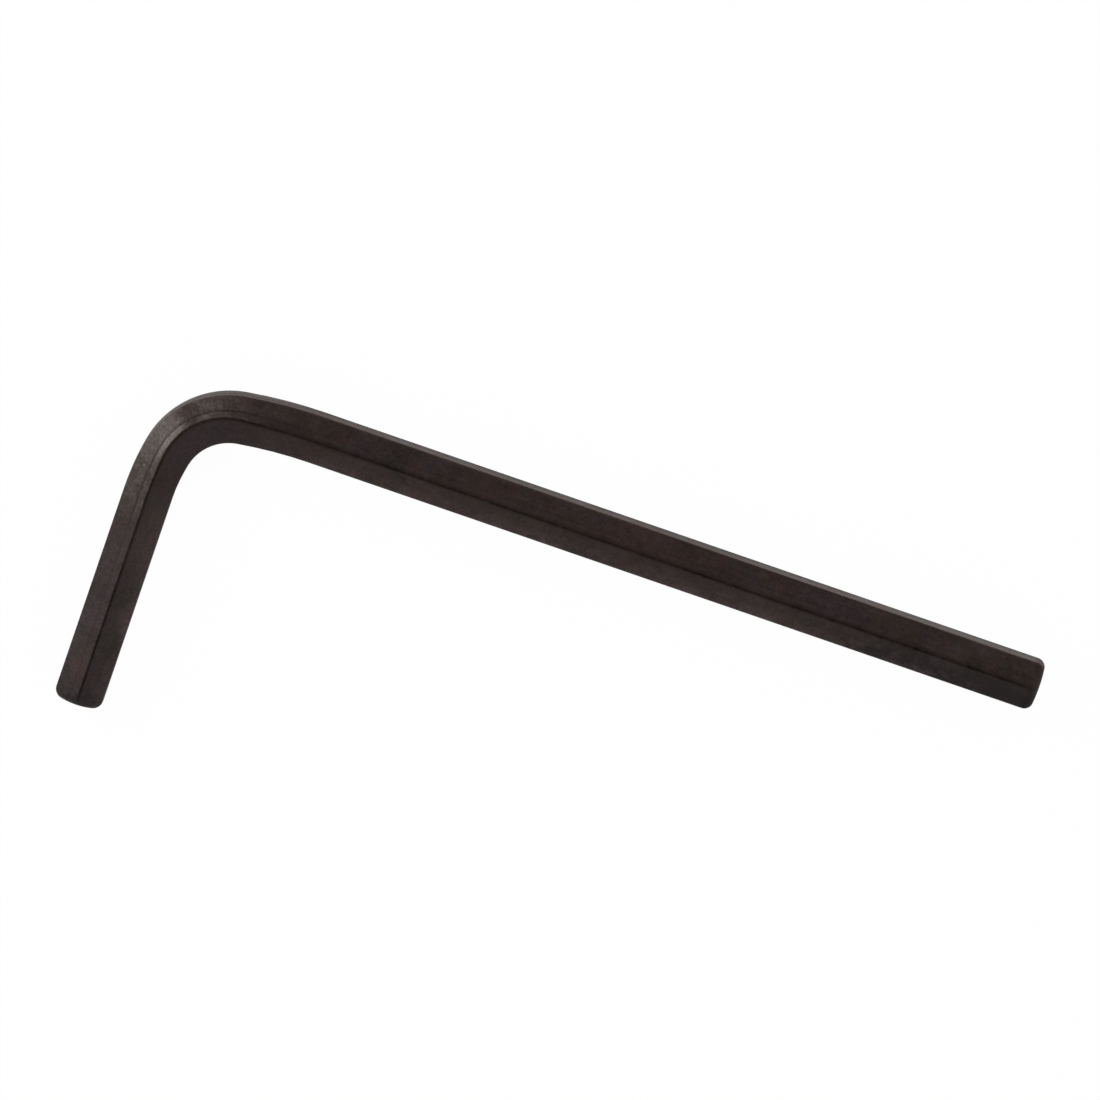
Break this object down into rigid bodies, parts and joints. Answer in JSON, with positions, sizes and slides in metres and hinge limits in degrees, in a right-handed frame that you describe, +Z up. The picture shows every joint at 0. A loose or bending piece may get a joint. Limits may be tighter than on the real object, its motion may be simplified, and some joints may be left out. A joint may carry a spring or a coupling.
{
  "type": "hex key",
  "caption": "L-shaped hex key of black-finished hexagon bar, with an eased bend and a chamfered driving tip on each arm.",
  "frame": {"origin": "on the surface that the key lies on, under the middle of its box", "axes": "+X along the long arm towards its tip, -Y along the short arm towards its tip, +Z up, square to the plane of the key"},
  "size_m": [0.0756, 0.0293, 0.0045],
  "materials": {
    "black_oxide_steel": "warm black oxide, semi-matt, with a fine drawn grain along the bar"
  },
  "bodies": {
    "root": {"hex_key": "black_oxide_steel"}
  },
  "joints": []
}
